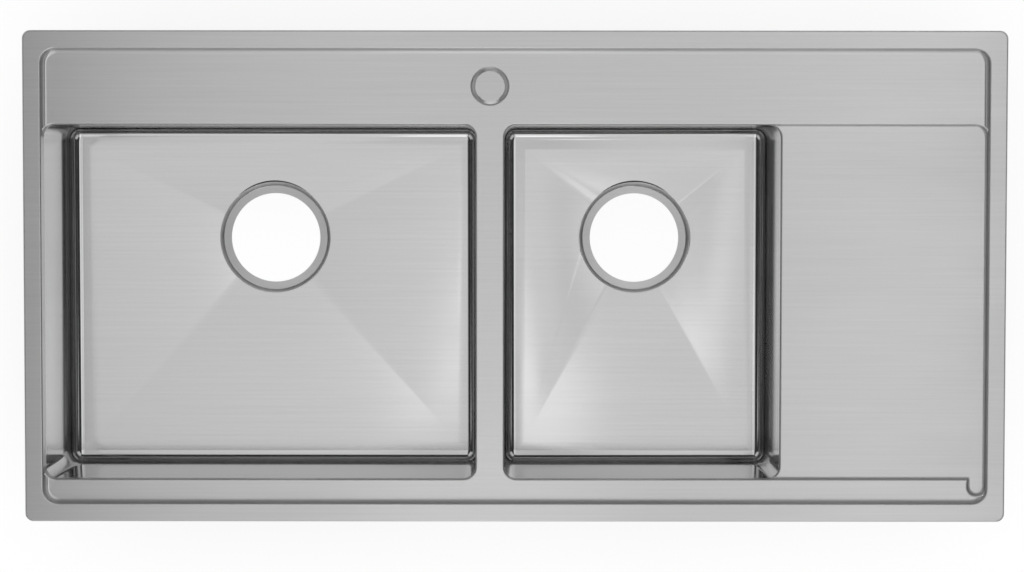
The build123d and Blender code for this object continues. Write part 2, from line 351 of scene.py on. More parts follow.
@dataclass(frozen=True)
class BowlSteel(SatinSteel):
    """The steel of a bowl: a brushed floor, polished walls and a drain seat brushed all round."""

    drain: str = ""
    seat_radius: float = 0.0603
    seat_roughness: float = 0.36
    wall_roughness: float = 0.12
    wall_flatness: float = 0.3
    marks_from: float = 0.2
    marks_full: float = 0.7
    front_lean: float = math.radians(5)
    lean_from: float = 0.8
    lean_full: float = 0.98

    def _around(self, bench: NodeBench, place: Socket) -> Socket:
        """The point's place on the level, from the middle of the drain."""
        offset = bench.vector("SUBTRACT", place, mount_place(self.drain))
        return bench.vector("MULTIPLY", offset, (1.0, 1.0, 0.0))

    def _on_seat(self, bench: NodeBench, place: Socket) -> Socket:
        """Where the drain's seat is, as 1 on it and 0 elsewhere."""
        away = bench.add("ShaderNodeVectorMath", {0: self._around(bench, place)}, operation="LENGTH")
        return bench.maths("LESS_THAN", away.outputs["Value"], self.seat_radius)

    def _gloss(self, bench: NodeBench, place: Socket, normal: Socket, clouds: Socket) -> Socket:
        """The roughness, which has its own values on the polished walls and on the seat.

        Args:
            bench: The material's nodes.
            place: The point on the sheet.
            normal: Which way the sheet faces there.
            clouds: The pattern with which the floor's roughness drifts.

        Returns:
            The roughness.
        """
        floor = super()._gloss(bench, place, normal, clouds)
        on_wall = bench.maths("LESS_THAN", bench.flatness(normal), self.wall_flatness)
        sheet = bench.mix(on_wall, floor, self.wall_roughness)
        return bench.mix(self._on_seat(bench, place), sheet, self.seat_roughness)

    def _relief(self, bench: NodeBench, normal: Socket) -> Socket:
        """The brush marks fade out up the walls, which were polished."""
        return bench.spread(bench.flatness(normal), 0.0, 1.0, self.marks_from, self.marks_full)

    def _lay(self, bench: NodeBench, place: Socket, normal: Socket) -> Socket:
        """The front wall is shaded as if it leaned outwards a little, as a folded wall springs back.

        Args:
            bench: The material's nodes.
            place: The point on the sheet.
            normal: Which way the sheet faces there.

        Returns:
            Which way the sheet is shaded to face.
        """
        at_front = bench.maths("LESS_THAN", bench.part(place, Axis.Y), 0.0)
        rise = math.tan(self.front_lean)
        lean = bench.spread(bench.part(normal, Axis.Y), 0.0, rise, self.lean_from, self.lean_full)
        upward = bench.add("ShaderNodeCombineXYZ", {"Z": bench.maths("MULTIPLY", lean, at_front)}).outputs[0]
        return bench.vector("NORMALIZE", bench.vector("ADD", normal, upward))

    def _brush(self, bench: NodeBench, place: Socket) -> Socket:
        """The brushing runs along the bowl, and round the drain on its seat.

        Args:
            bench: The material's nodes.
            place: The point on the sheet.

        Returns:
            The direction of the brushing.
        """
        round_drain = bench.vector("CROSS_PRODUCT", (0.0, 0.0, 1.0), self._around(bench, place))
        turned = bench.vector("NORMALIZE", round_drain)
        return bench.mix(self._on_seat(bench, place), self.brushing, turned, Blend.VECTOR)


@dataclass(frozen=True)
class MillSteel:
    """Rolled or plated steel with a mottled skin."""

    name: str
    colour: Colour
    roughness: float
    mottle_scale: float
    mottle: float
    colour_swing: float
    spangle_scale: float = 0.6
    spangle_share: float = 0.5
    spangle_tones: Flat = (0.2, 0.6)
    grain_strength: float = 0.25
    grain_depth: float = 0.00005

    def material(self) -> bpy.types.Material:
        """Builds the finish as a node material.

        Returns:
            The material.
        """
        material, bench = new_material(self.name)
        place = bench.add("ShaderNodeTexCoord").outputs["Object"]
        grain = bench.noise(place, self.mottle_scale, detail=5.0, roughness=0.6)
        spangle = bench.cells(place, self.spangle_scale * self.mottle_scale)
        tone = bench.spread(bench.mix(self.spangle_share, grain, spangle), 0.0, 1.0, *self.spangle_tones)
        bumps = {"Strength": self.grain_strength, "Distance": self.grain_depth, "Height": grain}
        steel = {
            "Base Color": bench.tinted(tone, self.colour, self.colour_swing),
            "Metallic": 1.0,
            "Roughness": bench.drift(grain, self.roughness, self.mottle),
            "Normal": bench.add("ShaderNodeBump", bumps).outputs[0],
        }
        bench.show(bench.add("ShaderNodeBsdfPrincipled", steel).outputs[0])
        return material


@dataclass(frozen=True)
class SoftSkin:
    """Rubber or closed-cell foam: dark, matt and finely pitted."""

    name: str
    colour: Colour
    roughness: float
    cell_scale: float
    cell_depth: float
    dust: float
    dust_scale: float = 14.0
    dust_tones: Flat = (0.35, 0.7)
    roughness_swing: float = 0.08
    grain_scale: float = 2.5
    grain_share: float = 0.5
    pit_strength: float = 0.6
    sheen: float = 0.35

    def material(self) -> bpy.types.Material:
        """Builds the finish as a node material.

        Returns:
            The material.
        """
        material, bench = new_material(self.name)
        place = bench.add("ShaderNodeTexCoord").outputs["Object"]
        patches = bench.noise(place, self.dust_scale, detail=6.0, roughness=0.65)
        grain = bench.noise(place, self.grain_scale * self.cell_scale)
        cells = bench.cells(place, self.cell_scale)
        height = bench.maths("ADD", cells, bench.maths("MULTIPLY", grain, self.grain_share))
        pits = {"Strength": self.pit_strength, "Distance": self.cell_depth, "Height": height}
        tone = bench.spread(patches, 0.0, 1.0, *self.dust_tones)
        skin = {
            "Base Color": bench.shades(tone, self.colour, shaded(1 + self.dust, self.colour)),
            "Roughness": bench.drift(patches, self.roughness, self.roughness_swing),
            "Specular IOR Level": self.sheen,
            "Normal": bench.add("ShaderNodeBump", pits).outputs[0],
        }
        bench.show(bench.add("ShaderNodeBsdfPrincipled", skin).outputs[0])
        return material


DECK_STEEL = SatinSteel("deck_steel", colour=(0.63, 0.63, 0.63))
BLANK_STEEL = SatinSteel("blank_steel", colour=(0.6, 0.6, 0.6))
WELD_BEAD = MillSteel(
    "weld_bead",
    colour=(0.5, 0.5, 0.5),
    roughness=0.38,
    mottle_scale=500.0,
    mottle=0.08,
    colour_swing=0.15,
)
CHANNEL_STEEL = MillSteel(
    "channel_steel",
    colour=(0.55, 0.56, 0.57),
    roughness=0.38,
    mottle_scale=160.0,
    mottle=0.08,
    colour_swing=0.08,
)
SPOT_WELD = MillSteel(
    "spot_weld",
    colour=(0.4, 0.39, 0.38),
    roughness=0.4,
    mottle_scale=900.0,
    mottle=0.1,
    colour_swing=0.25,
)
CLIP_STEEL = MillSteel(
    "clip_steel",
    colour=(0.6, 0.61, 0.63),
    roughness=0.36,
    mottle_scale=700.0,
    mottle=0.07,
    colour_swing=0.1,
)
FOAM = SoftSkin(
    "foam_seal",
    colour=(0.05, 0.05, 0.05),
    roughness=0.85,
    cell_scale=1400.0,
    cell_depth=0.0003,
    dust=0.8,
)
RUBBER = SoftSkin(
    "rubber_pad",
    colour=(0.035, 0.035, 0.038),
    roughness=0.62,
    cell_scale=900.0,
    cell_depth=0.00012,
    dust=1.0,
)


def bowl_steel(side: str) -> BowlSteel:
    """The finish of the bowl on one side.

    Args:
        side: Which bowl: left or right.

    Returns:
        The finish.
    """
    return BowlSteel(
        f"{side}_bowl_steel",
        colour=(0.585, 0.585, 0.585),
        roughness=0.13,
        roughness_cloud=0.015,
        anisotropy=0.5,
        colour_swing=0.035,
        streak_depth=0.000002,
        drain=f"{side}_drain",
    )


def wear(piece: bpy.types.Object, material: bpy.types.Material) -> None:
    """Gives a piece one material all over.

    Args:
        piece: The piece.
        material: Its finish.
    """
    slots = piece.data.materials
    if slots:
        slots[0] = material
    else:
        slots.append(material)


def smooth(piece: bpy.types.Object) -> None:
    """Shades a piece's faces as one curved skin."""
    for face in piece.data.polygons:
        face.use_smooth = True


def round_edges(piece: bpy.types.Object, name: str, width: float) -> None:
    """Rounds the sharp edges of a piece with a modifier.

    Args:
        piece: The piece.
        name: The modifier's name.
        width: How wide the rounding is.
    """
    bevel = piece.modifiers.new(name, "BEVEL")
    bevel.width = width
    bevel.segments = BEVEL_SEGMENTS
    bevel.limit_method = "ANGLE"


def shading_group(
    name: str, sharp_angle: float, crease_angle: float, crease_facing: float
) -> bpy.types.NodeTree:
    """Makes the geometry nodes that shade pressed sheet: bends smooth, cut edges and floor creases sharp.

    Args:
        name: The group's name.
        sharp_angle: Edges that turn by more than this are sharp, in radians.
        crease_angle: On a near-level floor, edges that turn by more than this are sharp, in radians.
        crease_facing: How level a floor is: the least upward part of its normal.

    Returns:
        The node group.
    """
    tree = bpy.data.node_groups.new(name, "GeometryNodeTree")
    for way in ("INPUT", "OUTPUT"):
        tree.interface.new_socket("Geometry", in_out=way, socket_type="NodeSocketGeometry")
    bench = NodeBench(tree)
    sheet = bench.add("NodeGroupInput").outputs[0]
    merge = {"Geometry": sheet, "Distance": MERGE_DISTANCE}
    joined = bench.add("GeometryNodeMergeByDistance", merge).outputs[0]
    smoothed = bench.add("GeometryNodeSetShadeSmooth", {0: joined, 2: True}, domain="FACE").outputs[0]
    turn = bench.add("GeometryNodeInputMeshEdgeAngle").outputs["Unsigned Angle"]
    flatness = bench.flatness(bench.add("GeometryNodeInputNormal").outputs[0])
    on_face = bench.add("GeometryNodeFieldOnDomain", {0: flatness}, domain="FACE", data_type="FLOAT")
    creased = bench.maths(
        "MULTIPLY",
        bench.maths("GREATER_THAN", turn, crease_angle),
        bench.maths("GREATER_THAN", on_face.outputs[0], crease_facing),
    )
    cut = bench.maths("GREATER_THAN", turn, sharp_angle)
    # Either of the two makes an edge sharp.
    sharp = bench.maths("GREATER_THAN", bench.maths("ADD", creased, cut), 0.5)
    edged = bench.add("GeometryNodeSetShadeSmooth", {0: smoothed, 1: sharp, 2: False}, domain="EDGE")
    bench.add("NodeGroupOutput", {0: edged.outputs[0]})
    return tree


@dataclass
class SheetShading:
    """Smooth shading over the bends of pressed steel, kept crisp at cut edges and creases."""

    sharp_angle: float = math.radians(32)
    crease_angle: float = math.radians(0.6)
    crease_facing: float = 0.996
    large_face_weight: int = 100
    group: bpy.types.NodeTree = field(init=False)

    def __post_init__(self) -> None:
        """Makes the node group that every sheet shares."""
        self.group = shading_group("sheet_shading", self.sharp_angle, self.crease_angle, self.crease_facing)

    def put_on(self, piece: bpy.types.Object) -> None:
        """Adds the shading to a piece as modifiers.

        Args:
            piece: The pressed piece.
        """
        nodes = piece.modifiers.new("sheet_shading", "NODES")
        nodes.node_group = self.group
        weighted = piece.modifiers.new("weighted_normals", "WEIGHTED_NORMAL")
        weighted.keep_sharp = True
        weighted.weight = self.large_face_weight


def rounded_outline(width: float, height: float, corner: float, steps: int) -> list[Flat]:
    """The outline of a rounded rectangle about its middle, counter-clockwise.

    Args:
        width: Its size along the first axis.
        height: Its size along the second axis.
        corner: The corners' radius.
        steps: How many straight steps each corner has.

    Returns:
        The outline's points.
    """
    points = []
    for quarter, (side, up) in enumerate(((1, 1), (-1, 1), (-1, -1), (1, -1))):
        middle_x = side * (width / 2 - corner)
        middle_y = up * (height / 2 - corner)
        for step in range(steps + 1):
            angle = math.radians(90 * (quarter + step / steps))
            points.append((middle_x + corner * math.cos(angle), middle_y + corner * math.sin(angle)))
    return points


def stepped(start: Flat, end: Flat, count: int) -> list[Flat]:
    """The points of a straight stretch, evenly apart, without its end."""
    run, rise = end[0] - start[0], end[1] - start[1]
    return [(start[0] + part / count * run, start[1] + part / count * rise) for part in range(count)]


def bridge(
    bm: bmesh.types.BMesh,
    first: Sequence[bmesh.types.BMVert],
    second: Sequence[bmesh.types.BMVert],
    closed: bool = True,
) -> None:
    """Joins two rows of as many vertices with quads.

    Args:
        bm: The mesh.
        first: The lower row.
        second: The upper row.
        closed: True where the rows are rings.
    """
    count = len(first)
    for index in range(count if closed else count - 1):
        after = (index + 1) % count
        bm.faces.new((first[index], first[after], second[after], second[index]))


def linked(name: str, bm: bmesh.types.BMesh) -> bpy.types.Object:
    """Turns a mesh into an object of the scene.

    Args:
        name: The object's name.
        bm: The mesh, which is freed.

    Returns:
        The object.
    """
    mesh = bpy.data.meshes.new(name)
    bm.to_mesh(mesh)
    bm.free()
    thing = bpy.data.objects.new(name, mesh)
    bpy.context.scene.collection.objects.link(thing)
    return thing


def finished(name: str, bm: bmesh.types.BMesh) -> bpy.types.Object:
    """Turns a mesh into a piece of the sink, with its faces turned outwards."""
    bmesh.ops.recalc_face_normals(bm, faces=bm.faces)
    return linked(name, bm)


def staged(name: str, bm: bmesh.types.BMesh, material: bpy.types.Material) -> bpy.types.Object:
    """Turns a mesh into a piece of the studio.

    Args:
        name: Its name.
        bm: The mesh, which is freed.
        material: Its finish.

    Returns:
        The floor, wall or card.
    """
    thing = linked(name, bm)
    # The steel mirrors these large lights anyway, so rays aimed at them would only take time.
    material.cycles.emission_sampling = "NONE"
    wear(thing, material)
    return thing


def lathe(bm: bmesh.types.BMesh, rows: Iterable[Row], steps: int, at: Point) -> None:
    """Winds rows of points about an upright axis and closes them into one skin.

    Args:
        bm: The mesh.
        rows: Each row gives a radius and a height for a share of the turn from 0 to 1.
        steps: How many steps a turn has.
        at: The axis's foot.
    """
    grid = []
    for row in rows:
        line = []
        for step in range(steps + 1):
            radius, height = row(step / steps)
            angle = 2 * math.pi * step / steps
            x, y = at[0] + radius * math.cos(angle), at[1] + radius * math.sin(angle)
            line.append(bm.verts.new((x, y, at[2] + height)))
        grid.append(line)
    for first, second in zip(grid, grid[1:]):
        bridge(bm, first, second, closed=False)
    bmesh.ops.remove_doubles(bm, verts=bm.verts, dist=MERGE_DISTANCE)
    bmesh.ops.dissolve_degenerate(bm, edges=bm.edges, dist=MERGE_DISTANCE)


def level_row(radius: float, height: float) -> Row:
    """A row that stays at one radius and height all the way round."""
    return lambda share: (radius, height)


@dataclass
class SteelBody:
    """The pressed deck and the two bowls welded under it."""

    finishes: dict[str, SatinSteel]
    shading: SheetShading
    corner: float = 0.0135
    corner_steps: int = 8
    bead: float = 0.0009
    bead_flatness: float = 0.6
    bead_sides: int = 6
    ripple: float = 0.00012
    ripple_pitch: float = 0.0022
    ripple_steps: int = 4

    def dress(self) -> None:
        """Gives the deck and the bowls their brushed finish."""
        for node, finish in self.finishes.items():
            piece = frame["nodes"][node]
            wear(piece, finish.material())
            self.shading.put_on(piece)
            log.info("dressed %s", node)

    def weld(self, bowl: str, material: bpy.types.Material) -> None:
        """Runs the weld bead round the outside of a bowl, where it meets the deck.

        Args:
            bowl: The bowl's node.
            material: The bead's finish.
        """
        low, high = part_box(bowl)
        middle_x, middle_y = (low.x + high.x) / 2, (low.y + high.y) / 2
        path = self._even_path(high.x - low.x, high.y - low.y)
        bm = bmesh.new()
        rings = []
        travelled = 0.0
        for index, (x, y) in enumerate(path):
            before = Vector(path[index - 1])
            after = Vector(path[(index + 1) % len(path)])
            along = (after - before).normalized()
            outward = Vector((along.y, -along.x))
            ring = []
            for out, rise in self._bead_section(travelled):
                spot = (middle_x + x + out * outward.x, middle_y + y + out * outward.y, high.z + rise)
                ring.append(bm.verts.new(spot))
            rings.append(ring)
            travelled += (after - Vector((x, y))).length
        for index, ring in enumerate(rings):
            bridge(bm, ring, rings[(index + 1) % len(rings)])
        piece = finished(f"{bowl}_weld", bm)
        smooth(piece)
        wear(piece, material)
        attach(piece, SINK)
        log.info("made %s", piece.name)

    def _bead_section(self, travelled: float) -> list[Flat]:
        """The bead's section, which swells and shrinks in ripples along the weld.

        Args:
            travelled: How far along the weld it is.

        Returns:
            How far out from the seam and how high each of its points lies.
        """
        swell = self.bead + self.ripple * math.sin(2 * math.pi * travelled / self.ripple_pitch)
        angles = [2 * math.pi * side / self.bead_sides for side in range(self.bead_sides)]
        return [(self.bead_flatness * swell * math.cos(angle), swell * math.sin(angle)) for angle in angles]

    def _even_path(self, width: float, depth: float) -> list[Flat]:
        """The bowl's outline as points a few steps to a ripple.

        Args:
            width: The bowl's outer size along the sink.
            depth: The bowl's outer size across the sink.

        Returns:
            The points, about the bowl's middle.
        """
        outline = rounded_outline(width, depth, self.corner, self.corner_steps)
        step = self.ripple_pitch / self.ripple_steps
        path = []
        for index, start in enumerate(outline):
            end = outline[(index + 1) % len(outline)]
            path += stepped(start, end, max(1, round(math.dist(start, end) / step)))
        return path


@dataclass
class TapHoleBlank:
    """The disc that closes the tap hole."""

    finish: SatinSteel
    shading: SheetShading
    node: str = "tap_hole_blank"

    def dress(self) -> None:
        """Gives the disc its brushed finish."""
        piece = frame["nodes"][self.node]
        wear(piece, self.finish.material())
        self.shading.put_on(piece)
        log.info("dressed %s", self.node)


@dataclass
class RimSeal:
    """The foam strip stuck under the rim, cut to length and butted together at the rear."""

    finish: SoftSkin
    node: str = "rim_seal"
    width: float = 0.010
    outer_corner: float = 0.0045
    inner_corner: float = 0.0196
    corner_steps: int = 10
    edge: float = 0.0012
    edge_steps: int = 3
    long_stretch: float = 0.1
    straight_steps: int = 24
    butt_gap: float = 0.0006

    def build(self) -> bpy.types.Object:
        """Builds the strip as one closed skin.

        Returns:
            The strip.
        """
        low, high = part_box(self.node)
        length, depth = high.x - low.x, high.y - low.y
        outer = self._loop(length, depth, self.outer_corner)
        inner = self._loop(length - 2 * self.width, depth - 2 * self.width, self.inner_corner)
        bm = bmesh.new()
        rings = []
        for (outer_x, outer_y), (inner_x, inner_y) in zip(outer, inner):
            ring = []
            for share, rise in self._section(high.z - low.z):
                x = outer_x + share * (inner_x - outer_x)
                y = outer_y + share * (inner_y - outer_y)
                ring.append(bm.verts.new((x, y, low.z + rise)))
            rings.append(ring)
        for first, second in zip(rings, rings[1:]):
            bridge(bm, first, second)
        bm.faces.new(rings[0])
        bm.faces.new(rings[-1])
        piece = finished("foam_strip", bm)
        for face in piece.data.polygons:
            # The two cut ends are the only faces with more than four corners, and stay flat.
            face.use_smooth = len(face.vertices) == 4
        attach(piece, SINK)
        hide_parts(self.node)
        return piece

    def dress(self) -> None:
        """Builds the strip and gives it its foam finish."""
        piece = self.build()
        wear(piece, self.finish.material())
        log.info("made %s", piece.name)

    def _section(self, height: float) -> list[Flat]:
        """The strip's section: how far across it lies, from 0 to 1, and how high."""
        outline = rounded_outline(self.width, height, self.edge, self.edge_steps)
        return [(0.5 + x / self.width, height / 2 + y) for x, y in outline]

    def _loop(self, width: float, depth: float, corner: float) -> list[Flat]:
        """An edge of the strip, from one side of the rear joint round to the other.

        Args:
            width: The loop's size along the sink.
            depth: The loop's size across the sink.
            corner: The radius of its corners.

        Returns:
            The loop's points.
        """
        outline = rounded_outline(width, depth, corner, self.corner_steps)
        first_corner = self.corner_steps + 1
        start = (-self.butt_gap / 2, depth / 2)
        end = (self.butt_gap / 2, depth / 2)
        points = [start] + outline[first_corner:] + outline[:first_corner] + [end]
        loop = []
        for first, second in zip(points, points[1:]):
            is_long = math.dist(first, second) > self.long_stretch
            loop += stepped(first, second, self.straight_steps if is_long else 1)
        return loop + [end]


@dataclass
class FallingFloor:
    """A bowl's floor seen from below: four facets that fall to the drain."""

    bowl: str
    drain: str
    sheet: float = 0.001
    border: float = 0.022
    fall: float = 0.007
    middle: Vector = field(init=False)
    spans: tuple[float, float, float, float] = field(init=False)

    def __post_init__(self) -> None:
        """Finds the drain and how far each side of the floor lies from it."""
        low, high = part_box(self.bowl)
        self.middle = Vector(mount_place(self.drain))
        edge = self.sheet + self.border
        self.spans = (
            self.middle.x - low.x - edge,
            high.x - edge - self.middle.x,
            self.middle.y - low.y - edge,
            high.y - edge - self.middle.y,
        )

    def drop(self, x: float, y: float) -> float:
        """How far the floor has fallen at a point.

        Args:
            x: The point's place along the sink.
            y: The point's place across the sink.

        Returns:
            The fall below the floor's border, in metres.
        """
        left, right, front, rear = self.spans
        away_x = (x - self.middle.x) / (right if x > self.middle.x else -left)
        away_y = (y - self.middle.y) / (rear if y > self.middle.y else -front)
        return self.fall * max(0.0, 1 - max(away_x, away_y))

    def creases(self) -> list[Vector]:
        """The directions of the creases that run to the floor's front corners."""
        left, right, front, _ = self.spans
        return [Vector((-left, -front, 0)), Vector((right, -front, 0))]


@dataclass
class SoundPads:
    """The rubber pads stuck to the outside of the bowls."""

    finish: SoftSkin
    thickness: float = 0.003
    corner: float = 0.006
    corner_steps: int = 6
    edge: float = 0.0011
    edge_steps: int = 3

    def dress(self) -> None:
        """Builds every pad and gives it its rubber finish."""
        material = self.finish.material()
        for bowl, drain in (("left_bowl", "left_drain"), ("right_bowl", "right_drain")):
            floor = FallingFloor(bowl, drain)
            for node in sorted(n for n in frame["nodes"] if n.startswith(bowl) and n.endswith("_pad")):
                piece = self.floor_pad(node, floor) if "floor" in node else self.wall_pad(node, bowl)
                wear(piece, material)
                self._seat(piece, node)
                log.info("made %s", piece.name)

    def wall_pad(self, node: str, bowl: str) -> bpy.types.Object:
        """Builds a pad on an upright wall, facing away from the bowl.

        Args:
            node: The pad's node.
            bowl: The bowl's node.

        Returns:
            The pad.
        """
        low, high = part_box(node)
        middle = (low + high) / 2
        bowl_low, bowl_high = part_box(bowl)
        across = 0 if high.x - low.x < high.y - low.y else 1
        along = 1 - across
        outward = 1 if middle[across] > ((bowl_low + bowl_high) / 2)[across] else -1
        back = low[across] if outward > 0 else high[across]

        def place(u: float, v: float, depth: float) -> Vector:
            """The point at a place on the pad's face.

            Args:
                u: The place along the wall, from the pad's middle.
                v: The place up the wall, from the pad's middle.
                depth: The height above the wall.

            Returns:
                The point.
            """
            point = Vector((0, 0, middle.z + v))
            point[along] = middle[along] + u
            point[across] = back + outward * depth
            return point

        bm = self._slab(high[along] - low[along], high.z - low.z, place)
        return finished(f"{node}_rubber", bm)

    def floor_pad(self, node: str, floor: FallingFloor) -> bpy.types.Object:
        """Builds a pad under a bowl's floor, bent along the floor's creases.

        Args:
            node: The pad's node.
            floor: The floor that it follows.

        Returns:
            The pad.
        """
        low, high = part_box(node)
        middle = (low + high) / 2

        def place(u: float, v: float, depth: float) -> Vector:
            """The point at a place on the pad's face and a depth below the floor."""
            return Vector((middle.x + u, middle.y + v, -depth))

        bm = self._slab(high.x - low.x, high.y - low.y, place)
        for crease in floor.creases():
            normal = Vector((-crease.y, crease.x, 0))
            parts = list(bm.verts) + list(bm.edges) + list(bm.faces)
            bmesh.ops.bisect_plane(
                bm, geom=parts, plane_co=floor.middle, plane_no=normal, dist=MERGE_DISTANCE
            )
        border_level = high.z + floor.drop(middle.x, low.y)
        for vert in bm.verts:
            vert.co.z += border_level - floor.drop(vert.co.x, vert.co.y)
        return finished(f"{node}_rubber", bm)

    def _slab(
        self, width: float, height: float, place: Callable[[float, float, float], Vector]
    ) -> bmesh.types.BMesh:
        """A slab with rounded corners and a rounded outer edge.

        Args:
            width: Its size along the first axis.
            height: Its size along the second axis.
            place: Gives the point for a place on the face and a height above its back.

        Returns:
            The slab's mesh.
        """
        bm = bmesh.new()
        loops = [(0.0, 0.0)]
        for step in range(self.edge_steps + 1):
            angle = math.radians(90 * step / self.edge_steps)
            inset = self.edge * (1 - math.cos(angle))
            loops.append((inset, self.thickness - self.edge * (1 - math.sin(angle))))
        rings = []
        for inset, depth in loops:
            size = (width - 2 * inset, height - 2 * inset)
            outline = rounded_outline(*size, self.corner - inset, self.corner_steps)
            rings.append([bm.verts.new(place(u, v, depth)) for u, v in outline])
        for first, second in zip(rings, rings[1:]):
            bridge(bm, first, second)
        bm.faces.new(rings[0])
        bm.faces.new(rings[-1])
        return bm

    def _seat(self, piece: bpy.types.Object, node: str) -> None:
        """Fixes a pad to the sink in place of its node.

        Args:
            piece: The pad.
            node: The pad's node.
        """
        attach(piece, SINK)
        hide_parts(node)


@dataclass
class Stiffeners:
    """The hat-section channels spot-welded under the drainboard."""

    finish: MillSteel
    weld_finish: MillSteel
    sheet: float = 0.001
    flange: float = 0.010
    edge: float = 0.0004
    welds_per_flange: int = 5
    weld_radius: float = 0.003
    weld_rise: float = 0.00025
    weld_profile: tuple[Flat, ...] = (
        (0.0, -0.3),
        (0.55, -0.45),
        (0.8, -1.0),
        (0.93, -0.8),
        (1.0, 0.2),
        (0.0, 0.2),
    )
    weld_steps: int = 20

    def dress(self) -> None:
        """Gives the channels their mill finish and adds their spot welds."""
        material = self.finish.material()
        marks = self.weld_finish.material()
        for node in ("front_stiffener", "rear_stiffener"):
            piece = frame["nodes"][node]
            wear(piece, material)
            round_edges(piece, "bent_edges", self.edge)
            log.info("dressed %s", node)
            self.spot_welds(node, marks)

    def spot_welds(self, node: str, material: bpy.types.Material) -> None:
        """Presses a row of spot-weld marks into each flange of a channel.

        Args:
            node: The channel's node.
            material: The marks' finish.
        """
        low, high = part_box(node)
        underside = high.z - self.sheet
        bm = bmesh.new()
        for y in (low.y + self.flange / 2, high.y - self.flange / 2):
            for number in range(self.welds_per_flange):
                share = (number + 0.5) / self.welds_per_flange
                self._mark(bm, (low.x + share * (high.x - low.x), y, underside))
        piece = finished(f"{node}_spot_welds", bm)
        smooth(piece)
        wear(piece, material)
        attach(piece, SINK)
        log.info("made %s", piece.name)

    def _mark(self, bm: bmesh.types.BMesh, at: Point) -> None:
        """One weld mark: a low ring with a dished middle."""
        rows = [level_row(self.weld_radius * r, self.weld_rise * z) for r, z in self.weld_profile]
        lathe(bm, rows, self.weld_steps, at)


@dataclass
class ClipSet:
    """The eight clips that clamp the worktop: threaded studs, nuts and swing arms."""

    finish: MillSteel
    count: int = 8
    edge: float = 0.00025
    radius: float = 0.0025
    thread_depth: float = 0.00042
    pitch: float = 0.0008
    run_in: int = 2
    stud_length: float = 0.050
    threaded_length: float = 0.042
    stud_overhang: float = 0.003
    tip: float = 0.0008
    flash_radius: float = 0.0036
    flash_height: float = 0.0011
    flash_shoulder: float = 0.4
    steps: int = 16

    def dress(self) -> None:
        """Cuts the studs' threads and gives every clip its plated finish."""
        material = self.finish.material()
        studs = self.threaded_studs()
        wear(studs, material)
        log.info("made %s", studs.name)
        for number in range(1, self.count + 1):
            for node in (f"clip_nut_{number}", f"clip_arm_{number}"):
                piece = frame["nodes"][node]
                wear(piece, material)
                round_edges(piece, "broken_edges", self.edge)
                log.info("dressed %s", node)

    def threaded_studs(self) -> bpy.types.Object:
        """Builds the eight studs with their threads and the flash where they are welded on.

        Returns:
            The studs, as one piece.
        """
        bm = bmesh.new()
        for number in range(1, self.count + 1):
            low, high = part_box(f"clip_nut_{number}")
            foot = ((low.x + high.x) / 2, (low.y + high.y) / 2, low.z - self.stud_overhang)
            lathe(bm, self._stud_rows(), self.steps, foot)
        piece = finished("clip_studs_threaded", bm)
        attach(piece, SINK)
        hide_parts("clip_studs")
        return piece

    def _stud_rows(self) -> list[Row]:
        """A stud's rows from its tip up: bevel, helical thread, shank and weld flash.

        Returns:
            The rows.
        """
        root = self.radius - self.thread_depth
        start, end, top = self.tip, self.threaded_length, self.stud_length
        rows = [level_row(0.0, 0.0), level_row(root - self.tip / 2, 0.0), level_row(root, start)]
        turns = math.ceil((end - start) / self.pitch)
        for half_turn in range(-self.run_in, 2 * turns + 1):
            rows.append(self._thread_row(half_turn, root, start, end))
        shoulder = top - self.flash_shoulder * self.flash_height
        shank = [(root, end), (self.radius, end + self.pitch), (self.radius, top - self.flash_height)]
        flash = [(self.flash_radius, shoulder), (self.flash_radius, top), (0.0, top)]
        return rows + [level_row(radius, height) for radius, height in shank + flash]

    def _thread_row(self, half_turn: int, root: float, start: float, end: float) -> Row:
        """A row along the thread's root or crest, which climbs one pitch a turn.

        Args:
            half_turn: Its number: even rows are roots and odd rows crests.
            root: The thread's least radius.
            start: The height where the thread begins.
            end: The height where it ends.

        Returns:
            The row.
        """
        crest = self.radius if half_turn % 2 else root

        def row(share: float) -> Flat:
            """The thread at a point of the turn.

            Args:
                share: The share of the turn, from 0 to 1.

            Returns:
                The radius and the height.
            """
            height = start + (half_turn / 2 + share) * self.pitch
            if height <= start:
                return root, start
            if height >= end:
                return root, end
            return crest, height

        return row


def even(level: float) -> Levels:
    """The levels of a card that is as bright all over."""
    return ((0.0, level), (1.0, level))


@dataclass(frozen=True)
class SoftCard:
    """A flat light that faces the sink."""

    name: str
    middle: Point
    size: Flat
    levels: Levels

    def build(self) -> None:
        """Builds the card, which the camera doesn't see."""
        bm = bmesh.new()
        half_x, half_y = self.size[0] / 2, self.size[1] / 2
        corners = ((-half_x, -half_y), (half_x, -half_y), (half_x, half_y), (-half_x, half_y))
        bm.faces.new([bm.verts.new((x, y, 0)) for x, y in corners])
        card = staged(self.name, bm, self._glow())
        card.location = self.middle
        card.rotation_euler = self.turn()
        card.visible_camera = False
        card.visible_shadow = False

    def turn(self) -> Euler:
        """It faces the sink."""
        return Vector(self.middle).to_track_quat("Z", "Y").to_euler()

    def _glow(self) -> bpy.types.Material:
        """The card's light, which changes from its left side to its right.

        Returns:
            The material.
        """
        material, bench = new_material(self.name)
        place = bench.add("ShaderNodeTexCoord").outputs["Object"]
        half = self.size[0] / 2
        share = bench.spread(bench.part(place, Axis.X), 0.0, 1.0, -half, half)
        bench.show(bench.glow(bench.ramp(share, self.levels)))
        return material


@dataclass(frozen=True)
class OverheadLight(SoftCard):
    """A level light that hangs over the sink."""

    def turn(self) -> Euler:
        """It faces straight down."""
        return Euler((math.pi, 0.0, 0.0))


